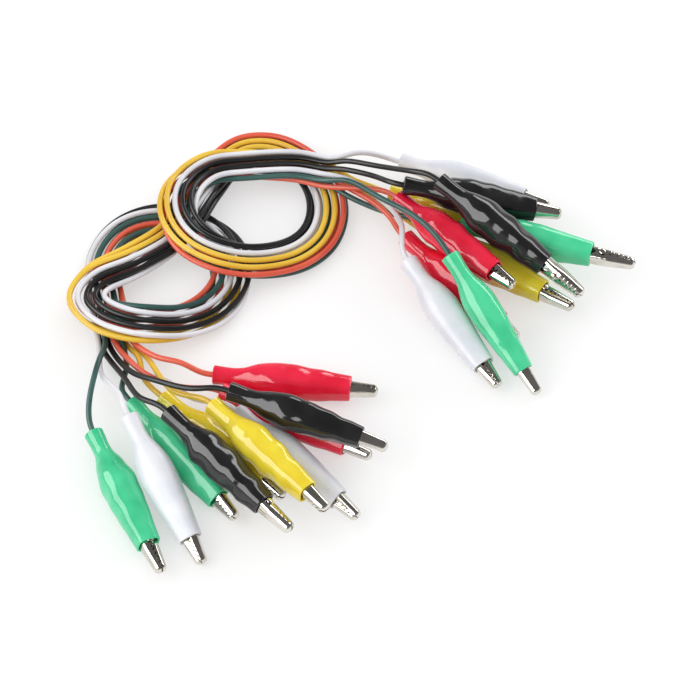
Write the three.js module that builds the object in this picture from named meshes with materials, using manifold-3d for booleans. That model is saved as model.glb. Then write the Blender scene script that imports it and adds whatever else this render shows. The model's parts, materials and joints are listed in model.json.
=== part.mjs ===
// A set of ten alligator clip leads, two each in green, white, yellow, black and red.
// The ten wires lie together in two loose coils, and their twenty clips fan out at both ends.
// Millimetres, +Z up. The clips rest on the plane z = 0.
import * as THREE from "three";
import { mergeVertices } from "three/addons/utils/BufferGeometryUtils.js";
import { ConvexGeometry } from "three/addons/geometries/ConvexGeometry.js";
import Module from "manifold-3d";

const wasm = await Module();
wasm.setup();

// Every clip has a frame of its own: the hinge at the origin, +X to the nose, +Y along the hinge.
// The upper jaw lies above z = 0 there and the lower jaw below it.

// Jaws, stamped and folded from one sheet
const sheet = 0.5;
const noseReach = 9.5;
const noseRound = 0.9;
const noseEndHalfHeight = 0.85;
const noseHalfHeight = 1.4;
const noseHalfWidth = 1.5;
const noseEndHalfWidth = 0.95;
const hingeHalfHeight = 2;
const hingeFlat = 2.2;
const upperHalfWidth = 2.15;
const edgeChamfer = 0.55;
const biteGap = 0.3;
const slotHalfHeight = 0.95;
const earHalfLength = 0.75;
const earDepth = 1.25;
const earFrontReach = 1.9;
const lipDepth = 0.5;

// Teeth along both side walls of each jaw
const toothCount = 4;
const toothPitch = 1.05;
const toothDepth = 0.55;

// Handles
const handleReach = 15.5;
const upperTailHalfWidth = 1.2;
const lowerTailHalfWidth = 0.9;
const tailSpread = 3.4;

// Hinge rivet
const rivetRadius = 0.5;
const rivetHeadRadius = 0.95;
const rivetHeadThickness = 0.2;
const runningGap = 0.3;
const rivetSides = 6;

// Torsion spring round the rivet
const springWire = 0.4;
const springTurns = 1.5;
const springPitch = 0.5;
const springStepsPerTurn = 8;
const springSides = 5;
const springLegReach = 8;
const springLegAside = 0.1;
const springGap = 0.27;

// Crimp behind the lower handle, and the copper strands in it
const crimpLength = 2.6;
const crimpBehindTail = 2.9;
const crimpWall = 0.5;
const crimpSides = 6;
const strapHalfWidth = 0.8;
const conductorRadius = 0.4;
const conductorLength = 2.2;

// Dip-moulded vinyl boot, measured from its rear end
const bootLength = 38;
const mouthAheadOfHinge = 2;
const vinylWall = 0.75;
const mouthWall = 0.5;
const neckRadius = 2.45;
const neckLength = 6.5;
const shoulderAt = 11;
const shoulderRadius = 3.9;
const bellyAt = 18;
const bellyRadius = 4.95;
const bellyHalfWidth = 4.75;
const mouthHalfHeight = 3.3;
const mouthHalfWidth = 2.95;
const mouthSquareness = 3;
const boreClearance = 0.5;
const bootSides = 10;
const vinylPress = 0.14;

// Wire
const wireRadius = 0.8;
const wireSides = 5;
const endGap = 0.3;
const straightOut = 3;

// Bundle of ten wires: two rows, one on the other, that turn slowly round each other.
// How far they have turned, and how long the rows are, is given at equal steps along it.
const rowHalfGap = 1.1;
const turning = [0, 0.12, 0.28, 0.34, 0.34, 0.28, 0.16, 0.02, -0.12, -0.25, -0.3];
const rowLengths = [7.5, 7.5, 8.5, 9, 7.5, 7.5, 8, 9, 8.5, 7.5, 7.5];
const wireCount = 10;
const loopSteps = 24;
const gapSamples = 6;
const stepsApart = 4;
const stationSpacing = 8.3;
const fanSpacing = 10;

// Solids

function solidOf(geometry) {
  const bare = geometry.clone();
  bare.deleteAttribute("normal");
  bare.deleteAttribute("uv");
  const merged = mergeVertices(bare, 1e-4);
  const vertProperties = merged.getAttribute("position").array;
  const triVerts = new Uint32Array(merged.index.array);
  return new wasm.Manifold(new wasm.Mesh({ numProp: 3, vertProperties, triVerts }));
}

function geometryOf(solid) {
  const mesh = solid.getMesh();
  const places = new THREE.BufferAttribute(new Float32Array(mesh.vertProperties), 3);
  const geometry = new THREE.BufferGeometry().setAttribute("position", places);
  geometry.setIndex(new THREE.BufferAttribute(new Uint32Array(mesh.triVerts), 1));
  geometry.computeVertexNormals();
  return geometry;
}

// The value at x of the straight line through two pairs of place and value.
function lineAt([x0, v0], [x1, v1], x) {
  return v0 + ((v1 - v0) * (x - x0)) / (x1 - x0);
}

// The value at x along a chain of pairs, level before the first and after the last.
function along(pairs, x) {
  if (x <= pairs[0][0]) return pairs[0][1];
  for (let i = 1; i < pairs.length; i += 1) {
    if (x <= pairs[i][0]) return lineAt(pairs[i - 1], pairs[i], x);
  }
  return pairs[pairs.length - 1][1];
}

function prismOf(outline, depth) {
  const shape = new THREE.Shape(outline.map(([x, y]) => new THREE.Vector2(x, y)));
  return new THREE.ExtrudeGeometry(shape, { depth, bevelEnabled: false }).translate(0, 0, -depth / 2);
}

// A solid from its side view, drawn as [x, z], and its plan, drawn as [x, y] for one half.
function fromTwoViews(side, halfPlan) {
  const otherHalf = halfPlan.map(([x, y]) => [x, -y]).reverse();
  const sideSolid = solidOf(prismOf(side, 4 * upperHalfWidth).rotateX(Math.PI / 2));
  return sideSolid.intersect(solidOf(prismOf([...halfPlan, ...otherHalf], 6 * tailSpread)));
}

function crossPin(radius, halfLength, sides) {
  return solidOf(new THREE.CylinderGeometry(radius, radius, 2 * halfLength, sides));
}

// A round bar or ring along X, from x0 to x1.
function barrel(x0, x1, outer, inner, sides) {
  const profile = [
    [inner, x0],
    [outer, x0],
    [outer, x1],
    [inner, x1],
  ];
  if (inner > 0) profile.push([inner, x0]);
  const points = profile.map(([r, x]) => new THREE.Vector2(r, x));
  return solidOf(new THREE.LatheGeometry(points, sides).rotateZ(-Math.PI / 2));
}

// Jaws

const noseStart = noseReach - noseRound;
const biteHalf = biteGap / 2;
const teethRear = noseStart - toothCount * toothPitch;

const backLine = [
  [hingeFlat, hingeHalfHeight],
  [noseStart, noseHalfHeight],
];

const upperPlan = [
  [-handleReach, upperTailHalfWidth],
  [0, upperHalfWidth],
  [noseStart, noseHalfWidth],
  [noseReach, noseEndHalfWidth],
];
const lowerPlan = upperPlan.filter(([x]) => x !== 0);
lowerPlan[0] = [-handleReach, lowerTailHalfWidth];

// Peaks and valleys along the biting edge, from the slot to the nose.
function toothLine() {
  const points = [];
  for (let i = 0; i < toothCount; i += 1) {
    const peak = teethRear + i * toothPitch;
    points.push([peak, biteHalf]);
    points.push([peak + toothPitch / 2, biteHalf + toothDepth]);
  }
  points.push([noseStart, biteHalf]);
  return points;
}

// One jaw with its handle, drawn as the upper one: toothed channel, ears round the rivet, handle.
function jaw(plan, spread, pinHole, rounded) {
  const pastTail = -handleReach - 1;
  const backTail = [-handleReach, spread];
  const backHinge = [-hingeFlat, hingeHalfHeight];
  const outline = [
    [noseReach, biteHalf],
    [noseReach, noseEndHalfHeight],
    [noseStart, noseHalfHeight],
    [hingeFlat, hingeHalfHeight],
    [-hingeFlat, hingeHalfHeight],
    [-handleReach, spread],
    [-handleReach, spread - sheet],
    [-hingeFlat - 1, hingeHalfHeight - sheet - lipDepth],
    [-earHalfLength, -earDepth],
    [earHalfLength, -earDepth],
    [earFrontReach, slotHalfHeight],
    [teethRear, slotHalfHeight],
    ...toothLine(),
  ];
  const hollow = [
    [noseStart, -2 * earDepth],
    [noseStart, noseHalfHeight - sheet],
    [hingeFlat, hingeHalfHeight - sheet],
    [-hingeFlat, hingeHalfHeight - sheet],
    [pastTail, lineAt(backTail, backHinge, pastTail) - sheet],
    [pastTail, -2 * earDepth],
  ];
  const innerPlan = plan.slice(0, -1).map(([x, y]) => [x, y - sheet]);
  innerPlan[0] = [pastTail, lineAt(innerPlan[0], innerPlan[1], pastTail)];
  let solid = fromTwoViews(outline, plan).subtract(fromTwoViews(hollow, innerPlan));
  for (const side of rounded ? [-1, 1] : []) {
    solid = solid.subtract(edgeWedge(side, plan));
  }
  if (pinHole > 0) {
    solid = solid.subtract(crossPin(pinHole, 2 * upperHalfWidth, rivetSides));
  }
  return solid;
}

// The wedge that rounds a back edge of the jaw, from the hinge to the nose.
function edgeWedge(side, plan) {
  const over = edgeChamfer;
  const slope = (noseHalfHeight - hingeHalfHeight) / noseStart;
  const corners = [];
  for (const x of [0, noseReach + over]) {
    const back = hingeHalfHeight + slope * x;
    const wide = along(plan, Math.min(x, noseStart));
    corners.push(new THREE.Vector3(x, side * (wide + over), back + over));
    corners.push(new THREE.Vector3(x, side * (wide - edgeChamfer - over), back + over));
    corners.push(new THREE.Vector3(x, side * (wide + over), back - edgeChamfer - over));
  }
  return solidOf(new ConvexGeometry(corners));
}

const turnedOver = [180, 0, 0];

function upperJaw() {
  return jaw(upperPlan, tailSpread, rivetRadius + runningGap, true);
}

// The lower jaw is the same stamping turned over, nested inside the upper ears,
// with a strap at its tail that ends in the crimp for the wire.
const tailStrapStart = -handleReach - 1;
const crimpFront = -handleReach - crimpBehindTail;
const crimpRear = crimpFront - crimpLength;

const crimpInner = conductorRadius + endGap;
const crimpOuter = crimpInner + crimpWall;
const strapPlan = [
  [2 * crimpRear, strapHalfWidth],
  [0, strapHalfWidth],
];

function lowerJaw() {
  const strap = [
    [-handleReach + 1, tailSpread],
    [tailStrapStart, tailSpread],
    [crimpFront - crimpLength / 2, crimpOuter - 0.1],
    [crimpFront, crimpInner],
    [tailStrapStart + 0.3, tailSpread - sheet],
    [-handleReach + 1, tailSpread - sheet],
  ];
  const folded = jaw(lowerPlan, tailSpread, rivetRadius + runningGap, true);
  const strapped = folded.add(fromTwoViews(strap, strapPlan)).rotate(turnedOver);
  return strapped.add(barrel(crimpRear, crimpFront, crimpOuter, crimpInner, crimpSides));
}

const rivetEnd = upperHalfWidth + runningGap;

function rivet() {
  const half = rivetHeadThickness / 2;
  const shaft = crossPin(rivetRadius, rivetEnd + half, rivetSides);
  const head = crossPin(rivetHeadRadius, half, rivetSides);
  const out = rivetEnd + half;
  return shaft.add(head.translate([0, out, 0])).add(head.translate([0, -out, 0]));
}

// A tube through points, with one ring of corners at each point and flat ends.
function sweep(points, radius, sides) {
  const places = [];
  const faces = [];
  let across = new THREE.Vector3(0, 0, 1);
  points.forEach((point, i) => {
    const before = points[Math.max(i - 1, 0)];
    const after = points[Math.min(i + 1, points.length - 1)];
    const ahead = after.clone().sub(before).normalize();
    if (Math.abs(across.dot(ahead)) > 0.99) across = new THREE.Vector3(0, 1, 0);
    across.addScaledVector(ahead, -across.dot(ahead)).normalize();
    const beside = ahead.clone().cross(across);
    for (let k = 0; k < sides; k += 1) {
      const angle = (2 * Math.PI * k) / sides;
      const corner = point.clone();
      corner.addScaledVector(across, radius * Math.cos(angle));
      corner.addScaledVector(beside, radius * Math.sin(angle));
      places.push(corner.x, corner.y, corner.z);
    }
    across = across.clone();
  });
  for (let i = 0; i + 1 < points.length; i += 1) {
    for (let k = 0; k < sides; k += 1) {
      const a = i * sides + k;
      const b = i * sides + ((k + 1) % sides);
      faces.push(a, b, b + sides, a, b + sides, a + sides);
    }
  }
  const last = (points.length - 1) * sides;
  for (let k = 1; k + 1 < sides; k += 1) {
    faces.push(0, k + 1, k);
    faces.push(last, last + k, last + k + 1);
  }
  const geometry = new THREE.BufferGeometry();
  geometry.setAttribute("position", new THREE.Float32BufferAttribute(places, 3));
  geometry.setIndex(faces);
  geometry.computeVertexNormals();
  return geometry;
}

// The spring: a leg under the upper handle, turns round the rivet, a leg on the lower handle.
function springGeometry() {
  const coilRadius = rivetRadius + springGap + springWire / 2;
  const width = springTurns * springPitch;
  const backAtLeg = along(
    [
      [-handleReach, tailSpread],
      [-hingeFlat, hingeHalfHeight],
    ],
    -springLegReach,
  );
  const legHeight = backAtLeg - sheet - 1.5 * springGap - springWire / 2;
  const points = [new THREE.Vector3(-springLegReach, -springLegAside, legHeight)];
  const steps = springTurns * springStepsPerTurn;
  for (let i = 0; i <= steps; i += 1) {
    const turn = Math.PI / 2 - (2 * Math.PI * i) / springStepsPerTurn;
    const y = -width / 2 + (springPitch * i) / springStepsPerTurn;
    points.push(new THREE.Vector3(coilRadius * Math.cos(turn), y, coilRadius * Math.sin(turn)));
  }
  points.push(new THREE.Vector3(-springLegReach, springLegAside, -legHeight));
  return sweep(points, springWire / 2, springSides);
}

// Boot: a wall between an outer and an inner profile, turned about X.
// Towards the mouth the round section goes over to a rounded box, the shape of the jaws in it.
const boreRadius = wireRadius + boreClearance;
const widthShare = [
  [neckLength, 1],
  [bellyAt, bellyHalfWidth / bellyRadius],
  [bootLength, mouthHalfWidth / mouthHalfHeight],
];
const squareness = [
  [bellyAt, 2],
  [bootLength, mouthSquareness],
];

function boot(slide) {
  const profile = [
    [0, boreRadius],
    [0, neckRadius],
    [neckLength, neckRadius],
    [shoulderAt, shoulderRadius],
    [bellyAt, bellyRadius],
    [bootLength, mouthHalfHeight + mouthWall],
    [bootLength, mouthHalfHeight],
    [bellyAt, bellyRadius - vinylWall],
    [neckLength + 1, boreRadius],
    [0, boreRadius],
  ];
  const points = profile.map(([x, r]) => new THREE.Vector2(r, x));
  const halfStep = Math.PI / bootSides;
  const lathe = new THREE.LatheGeometry(points, bootSides, halfStep).rotateZ(-Math.PI / 2);
  const places = lathe.getAttribute("position");
  for (let i = 0; i < places.count; i += 1) {
    const x = places.getX(i);
    const angle = Math.atan2(places.getY(i), places.getZ(i));
    const power = along(squareness, x);
    const sum = Math.abs(Math.cos(angle)) ** power + Math.abs(Math.sin(angle)) ** power;
    const stretch = sum ** (-1 / power);
    places.setY(i, places.getY(i) * stretch * along(widthShare, x));
    places.setZ(i, places.getZ(i) * stretch);
  }
  return solidOf(lathe).translate([bootRear(slide), 0, 0]);
}

function bootRear(slide) {
  return mouthAheadOfHinge - bootLength - slide;
}

// A clip's body in one piece: the boot, and in it the lower jaw, whose tail presses into the
// vinyl, with a plain bar for the strap and crimp, and a stub on each ear that the hinge turns on.
const boreAtTail = along(
  [
    [bellyAt, bellyRadius - vinylWall],
    [bootLength, mouthHalfHeight],
  ],
  -handleReach - bootRear(0),
);
const pressedSpread = boreAtTail * Math.cos(Math.PI / bootSides) + vinylPress;

function clipBody(slide) {
  const bar = [
    [-handleReach + 1, pressedSpread],
    [tailStrapStart, pressedSpread],
    [crimpFront, crimpOuter],
    [crimpRear, crimpOuter],
    [crimpRear, -crimpOuter],
    [crimpFront, -crimpOuter],
    [tailStrapStart + 0.3, pressedSpread - sheet],
    [-handleReach + 1, pressedSpread - sheet],
  ];
  const folded = jaw(lowerPlan, pressedSpread, 0, false).add(fromTwoViews(bar, strapPlan));
  const earFace = along(lowerPlan, 0);
  const stubHalf = (rivetEnd - earFace + sheet / 2) / 2;
  const stub = crossPin(rivetRadius, stubHalf, rivetSides);
  const out = rivetEnd - stubHalf;
  const jawSolid = folded.add(stub.translate([0, out, 0])).add(stub.translate([0, -out, 0]));
  return boot(slide).add(jawSolid.rotate(turnedOver));
}

// Where the clips lie. Each row: rear end of the boot, heading and nose-down dip in degrees,
// roll about the clip's own length, and how far the boot has slid back.

const clips = {
  // lower left fan
  green_1a: { rear: [-69.4, -31.6, 5.9], heading: -65, dip: 2.4, roll: 76, slide: 1.5 },
  white_1a: { rear: [-59.5, -31.7, 14.3], heading: -62, dip: 16, roll: -65 },
  green_2a: { rear: [-59.5, -22.5, 7.4], heading: -50, dip: 5, roll: -50 },
  black_1a: { rear: [-49.0, -30.9, 15.2], heading: -46, dip: 5, roll: 65, slide: 3 },
  yellow_1a: { rear: [-51.1, -20.1, 6.2], heading: -42.5, dip: 3, roll: -30 },
  yellow_2a: { rear: [-37.1, -28.1, 14.5], heading: -47, dip: 0.3, roll: -5 },
  white_2a: { rear: [-30.8, -26.3, 8.7], heading: -43, dip: 6.3, roll: -50 },
  black_2a: { rear: [-32.7, -25.1, 16.7], heading: -19, dip: 6.6, roll: 20 },
  red_1a: { rear: [-35.1, -17.9, 5.8], heading: -26, dip: 2.4, roll: 40 },
  red_2a: { rear: [-37.6, -12.2, 5.6], heading: -6, dip: 1.4, roll: 80 },
  // upper right fan
  white_2b: { rear: [14.6, 62.9, 4.5], heading: -22.5, dip: -2.4, roll: 20 },
  black_1b: { rear: [15.0, 44.0, 18.0], heading: -6, dip: 9.2, roll: 88 },
  black_2b: { rear: [24.7, 41.1, 23.8], heading: -37, dip: 14.5, roll: -28, slide: 6 },
  green_2b: { rear: [31.3, 36.8, 9.1], heading: -17, dip: -1.4, roll: 88, slide: 5 },
  yellow_2b: { rear: [22.4, 37.0, 4.6], heading: -34, dip: -1.9, roll: 85, slide: 2.5 },
  red_1b: { rear: [13.4, 43.3, 12.8], heading: -45.5, dip: -3, roll: -70 },
  red_2b: { rear: [15.5, 34.3, 6.5], heading: -47, dip: 3.6, roll: -42 },
  white_1b: { rear: [16.1, 23.3, 10.2], heading: -56.5, dip: 9.5, roll: -75 },
  green_1b: { rear: [27.5, 18.3, 19.5], heading: -55, dip: 22.4, roll: 20 },
  yellow_1b: { rear: [11.2, 50.0, 6.6], heading: -17, dip: 4, roll: 0 },
};

// Where the wires go between the bundle and the clips, as points in the order of the wire.
const fans = {
  white_2b: [
    [10, 64.5, 5],
    [2, 63, 9],
    [-2, 61.5, 9],
  ],
  black_1b: [
    [11.5, 44.5, 18.5],
    [5.5, 52, 12.5],
    [-4.5, 57.5, 8.5],
  ],
  black_2b: [
    [18, 44.5, 23.5],
    [8.5, 53, 15],
    [-2.5, 59.5, 9.5],
  ],
  green_2b: [
    [22.5, 40, 7.5],
    [11.5, 45, 3.5],
    [-0.5, 50, 5],
  ],
  yellow_2b: [
    [17, 42.5, 3],
    [10, 49, 2],
    [-1, 55, 5],
  ],
  red_1b: [
    [8.5, 47, 12],
    [0.5, 50, 9],
  ],
  red_2b: [
    [12, 41, 6],
    [7, 46.5, 6.5],
    [-3, 54, 6],
  ],
  white_1b: [
    [14.5, 29, 11.5],
    [14.5, 36, 11],
    [8, 47, 8.5],
    [-3, 55, 8],
  ],
  green_1b: [
    [23.5, 24.5, 21],
    [18, 31.5, 20],
    [8.5, 41, 16],
    [-1, 50.5, 12],
  ],
  yellow_1b: [
    [7, 52, 6.5],
    [-1, 57.5, 4.5],
  ],
  green_1a: [
    [-69, -10, 8.5],
    [-71, -22.5, 7.5],
  ],
  white_1a: [
    [-68.5, -11, 5],
    [-62, -25, 14.5],
  ],
  green_2a: [
    [-61.5, -6.5, 3],
    [-62.5, -18, 6.5],
  ],
  black_1a: [
    [-61.5, -15, 8],
    [-56.5, -25.5, 13.5],
  ],
  black_2a: [
    [-59.5, -13.5, 8.5],
    [-53, -19, 13],
    [-43, -24, 16],
  ],
  yellow_1a: [
    [-58, -5.5, 4.5],
    [-57, -12.5, 5],
  ],
  yellow_2a: [
    [-56, -5, 3.5],
    [-52, -16, 11],
    [-48.5, -21.5, 11.5],
    [-41.5, -25, 13.5],
  ],
  white_2a: [
    [-57, -8.5, 1],
    [-49.5, -13.5, 4],
    [-43.5, -19.5, 5],
  ],
  red_1a: [
    [-54.5, -15, 8.5],
    [-48, -17.5, 8],
    [-42, -17, 6],
  ],
  red_2a: [
    [-59.5, -1.5, 5],
    [-52.5, -8, 7.5],
    [-46.5, -9.5, 8],
  ],
};

// The ten leads in the order in which they lie round the bundle where it starts.
const leads = [
  "black_2",
  "black_1",
  "white_1",
  "green_1",
  "red_1",
  "green_2",
  "red_2",
  "yellow_2",
  "yellow_1",
  "white_2",
];
const heroLead = "green_1";

const COLOURS = {
  green: { vinyl: 0x4fc98f, wire: 0x2f5a55 },
  white: { vinyl: 0xe9e9ee, wire: 0xe4e4ea },
  yellow: { vinyl: 0xead93e, wire: 0xecc94c },
  black: { vinyl: 0x1b1b1c, wire: 0x242424 },
  red: { vinyl: 0xe12c48, wire: 0xe5654f },
};

// The bundle's middle line: in from the upper right fan, once round the upper coil,
// down the link, once round the lower coil and out to the lower left fan.
// Along a coil, radius and height are given at equal steps of the angle.
const upperLoop = {
  middle: [-27.5, 45],
  from: 138,
  to: 444,
  radii: [18.3, 20.8, 22.4, 19.7, 18.5, 20, 21.4, 23.2, 25.2],
  heights: [8.4, 11.1, 10.9, 7.5, 4.6, 2.6, 2.4, 2.4, 2.3],
};
const lowerLoop = {
  middle: [-53.5, 22.5],
  from: 221,
  to: 563,
  radii: [22.7, 19.2, 17.8, 18.9, 20.6, 20.9, 21, 19.7, 16.6, 15.9],
  heights: [8, 7.7, 4.7, 2.6, 2.2, 2.2, 2.2, 2.2, 2.2, 2.2],
};
const bundleStart = [
  [-6.3, 57, 7],
  [-14.2, 59.4, 7],
  [-22.2, 59.9, 7],
  [-30.1, 59.6, 7.2],
  [-36.2, 59.2, 7.8],
];
const link = [
  [-31.2, 68.9, 2.3],
  [-35.6, 64.9, 2.3],
  [-38.9, 59.2, 2.4],
  [-42.2, 51.1, 5.6],
  [-45.6, 42.4, 7],
  [-50, 35.3, 6.5],
  [-55.6, 29.9, 6.5],
  [-61.7, 25.3, 6.5],
  [-66.6, 22.5, 6.6],
  [-70.4, 19.9, 6.8],
  [-72.9, 17.1, 6.9],
  [-73.8, 13.8, 7.1],
  [-73.2, 10.6, 7.4],
];
const bundleEnd = [
  [-67.1, 9.7, 2.3],
  [-65.9, 4.9, 2.4],
  [-65, 0.5, 2.6],
];

function smoothAlong(values, share) {
  const place = share * (values.length - 1);
  const i = Math.min(Math.floor(place), values.length - 2);
  const f = place - i;
  const v0 = values[Math.max(i - 1, 0)];
  const v3 = values[Math.min(i + 2, values.length - 1)];
  const [v1, v2] = [values[i], values[i + 1]];
  const a = 2 * v1 - 2 * v2 + (v2 - v0) / 2 + (v3 - v1) / 2;
  const b = 3 * (v2 - v1) - (v2 - v0) - (v3 - v1) / 2;
  return v1 + f * ((v2 - v0) / 2 + f * (b + f * a));
}

function loopPoints(loop, steps) {
  const points = [];
  for (let i = 0; i <= steps; i += 1) {
    const share = i / steps;
    const turn = THREE.MathUtils.degToRad(loop.from + (loop.to - loop.from) * share);
    const radius = smoothAlong(loop.radii, share);
    const x = loop.middle[0] + radius * Math.cos(turn);
    const y = loop.middle[1] + radius * Math.sin(turn);
    points.push(new THREE.Vector3(x, y, smoothAlong(loop.heights, share)));
  }
  return points;
}

const asPoint = ([x, y, z]) => new THREE.Vector3(x, y, z);

const middleLine = new THREE.CatmullRomCurve3(
  [
    ...bundleStart.map(asPoint),
    ...loopPoints(upperLoop, loopSteps),
    ...link.map(asPoint),
    ...loopPoints(lowerLoop, loopSteps),
    ...bundleEnd.map(asPoint),
  ],
  false,
  "centripetal",
);

// A place on the bundle's flat section: two straight rows joined by half circles.
function sectionPlace(share, rowLength) {
  const bend = Math.PI * rowHalfGap;
  const q = THREE.MathUtils.euclideanModulo(share, 1) * (2 * rowLength + 2 * bend);
  const half = rowLength / 2;
  if (q < rowLength) return [q - half, rowHalfGap];
  if (q < rowLength + bend) {
    const turn = (q - rowLength) / rowHalfGap;
    return [half + rowHalfGap * Math.sin(turn), rowHalfGap * Math.cos(turn)];
  }
  if (q < 2 * rowLength + bend) return [half - (q - rowLength - bend), -rowHalfGap];
  const turn = (q - 2 * rowLength - bend) / rowHalfGap;
  return [-half - rowHalfGap * Math.sin(turn), -rowHalfGap * Math.cos(turn)];
}

const bundleLength = middleLine.getLength();
const stationCount = Math.round(bundleLength / stationSpacing);
middleLine.arcLengthDivisions = 2000;
middleLine.updateArcLengths();
const up = new THREE.Vector3(0, 0, 1);

function bundlePoints(order) {
  const points = [];
  for (let i = 0; i <= stationCount; i += 1) {
    const share = i / stationCount;
    const ahead = middleLine.getTangentAt(share);
    const left = up.clone().cross(ahead).normalize();
    const turned = smoothAlong(turning, share);
    const rowLength = smoothAlong(rowLengths, share);
    const [aside, above] = sectionPlace((order + 0.5) / wireCount + turned, rowLength);
    const point = middleLine.getPointAt(share);
    point.addScaledVector(left, aside).addScaledVector(up, above);
    points.push(point);
  }
  return points;
}

function clipMatrix(clip) {
  const turn = new THREE.Euler(
    THREE.MathUtils.degToRad(clip.roll),
    THREE.MathUtils.degToRad(clip.dip),
    THREE.MathUtils.degToRad(clip.heading),
    "ZYX",
  );
  const matrix = new THREE.Matrix4().makeRotationFromEuler(turn);
  const fromRear = new THREE.Vector3(-bootRear(clip.slide ?? 0), 0, 0).applyMatrix4(matrix);
  return matrix.setPosition(asPoint(clip.rear).add(fromRear));
}

// The straight end of a wire inside a boot, from the crimp out past the boot's rear.
function wireEnd(clip) {
  const rear = bootRear(clip.slide ?? 0);
  const matrix = clipMatrix(clip);
  return [crimpRear - endGap, rear, rear - straightOut].map((x) =>
    new THREE.Vector3(x, 0, 0).applyMatrix4(matrix),
  );
}

function wirePoints(lead, order) {
  const start = [...wireEnd(clips[lead + "b"]), ...fans[lead + "b"].map(asPoint)];
  const finish = [...wireEnd(clips[lead + "a"]), ...[...fans[lead + "a"]].reverse().map(asPoint)];
  const bundle = bundlePoints(order);
  const knots = [...start, ...bundle, ...finish.reverse()];
  const curve = new THREE.CatmullRomCurve3(knots, false, "centripetal");
  const points = [];
  for (let i = 0; i + 1 < knots.length; i += 1) {
    const gap = knots[i].distanceTo(knots[i + 1]);
    const inFan = i > 0 && i + 2 < knots.length;
    const pieces = inFan ? Math.max(1, Math.round(gap / fanSpacing)) : 1;
    for (let k = 0; k < pieces; k += 1) {
      points.push(curve.getPoint((i + k / pieces) / (knots.length - 1)));
    }
  }
  points.push(knots[knots.length - 1]);
  return points;
}

// Assembly

const metal = new THREE.MeshStandardMaterial({ color: 0xc9c9c6, roughness: 0.25, metalness: 1 });
const copper = new THREE.MeshStandardMaterial({ color: 0xb8754a, roughness: 0.35, metalness: 1 });
const springSteel = new THREE.MeshStandardMaterial({ color: 0x8f9192, roughness: 0.3, metalness: 1 });

const set = new THREE.Group();
const clipGroup = new THREE.Group();
set.add(clipGroup);

function addMesh(group, name, geometry, material) {
  const mesh = new THREE.Mesh(geometry, material);
  mesh.name = name;
  group.add(mesh);
  return mesh;
}

const upperGeometry = geometryOf(upperJaw());
const bodyGeometry = new Map();

function fusedBody(slide) {
  if (!bodyGeometry.has(slide)) {
    bodyGeometry.set(slide, geometryOf(clipBody(slide)));
  }
  return bodyGeometry.get(slide);
}

for (const [name, clip] of Object.entries(clips)) {
  const lead = name.slice(0, -1);
  const slide = clip.slide ?? 0;
  const colour = COLOURS[lead.split("_")[0]];
  const vinyl = new THREE.MeshStandardMaterial({ color: colour.vinyl, roughness: 0.2, metalness: 0 });
  const group = new THREE.Group();
  group.applyMatrix4(clipMatrix(clip));
  clipGroup.add(group);
  const label = lead + "_clip_" + name.slice(-1);
  addMesh(group, label + "_upper_jaw", upperGeometry, metal);
  if (lead === heroLead) {
    addMesh(group, label + "_boot", geometryOf(boot(slide)), vinyl);
    addMesh(group, label + "_lower_jaw", geometryOf(lowerJaw()), metal);
    addMesh(group, label + "_rivet", geometryOf(rivet()), metal);
    addMesh(group, label + "_spring", springGeometry(), springSteel);
    const strands = barrel(crimpRear, crimpRear + conductorLength, conductorRadius, 0, crimpSides);
    addMesh(group, label + "_conductor", geometryOf(strands), copper);
  } else {
    addMesh(group, label + "_body", fusedBody(slide), vinyl);
  }
}

// The least clear space between two parts of one tube that are more than a turn's step apart.
function leastGapToItself(points, radius, apart) {
  let least = Infinity;
  for (let i = 0; i + 1 < points.length; i += 1) {
    for (let j = i + apart; j + 1 < points.length; j += 1) {
      for (let k = 0; k <= gapSamples; k += 1) {
        const here = points[i].clone().lerp(points[i + 1], k / gapSamples);
        const there = new THREE.Line3(points[j], points[j + 1]);
        const nearest = there.closestPointToPoint(here, true, new THREE.Vector3());
        least = Math.min(least, here.distanceTo(nearest) - 2 * radius);
      }
    }
  }
  return least;
}

let leastGap = Infinity;
leads.forEach((lead, order) => {
  const colour = COLOURS[lead.split("_")[0]];
  const skin = new THREE.MeshStandardMaterial({ color: colour.wire, roughness: 0.35, metalness: 0 });
  const points = wirePoints(lead, order);
  leastGap = Math.min(leastGap, leastGapToItself(points, wireRadius, stepsApart));
  addMesh(set, lead + "_wire", sweep(points, wireRadius, wireSides), skin);
});
console.log("least gap of a wire to itself", leastGap.toFixed(2), "mm");

// The set's own origin is the middle of the space that its clips take up, on the table.
set.updateMatrixWorld(true);
const space = new THREE.Box3().setFromObject(clipGroup, true);
const middle = space.getCenter(new THREE.Vector3());
set.position.set(-middle.x, -middle.y, -space.min.z);

export default set;
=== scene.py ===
# The looks of a set of ten alligator clip leads: coloured wires in two loose coils, with a
# sprung, toothed clip in a soft vinyl boot at both ends of each. Shapes are worked out in
# millimetres and put into the meshes in metres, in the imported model's frame.
import json
import math

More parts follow.
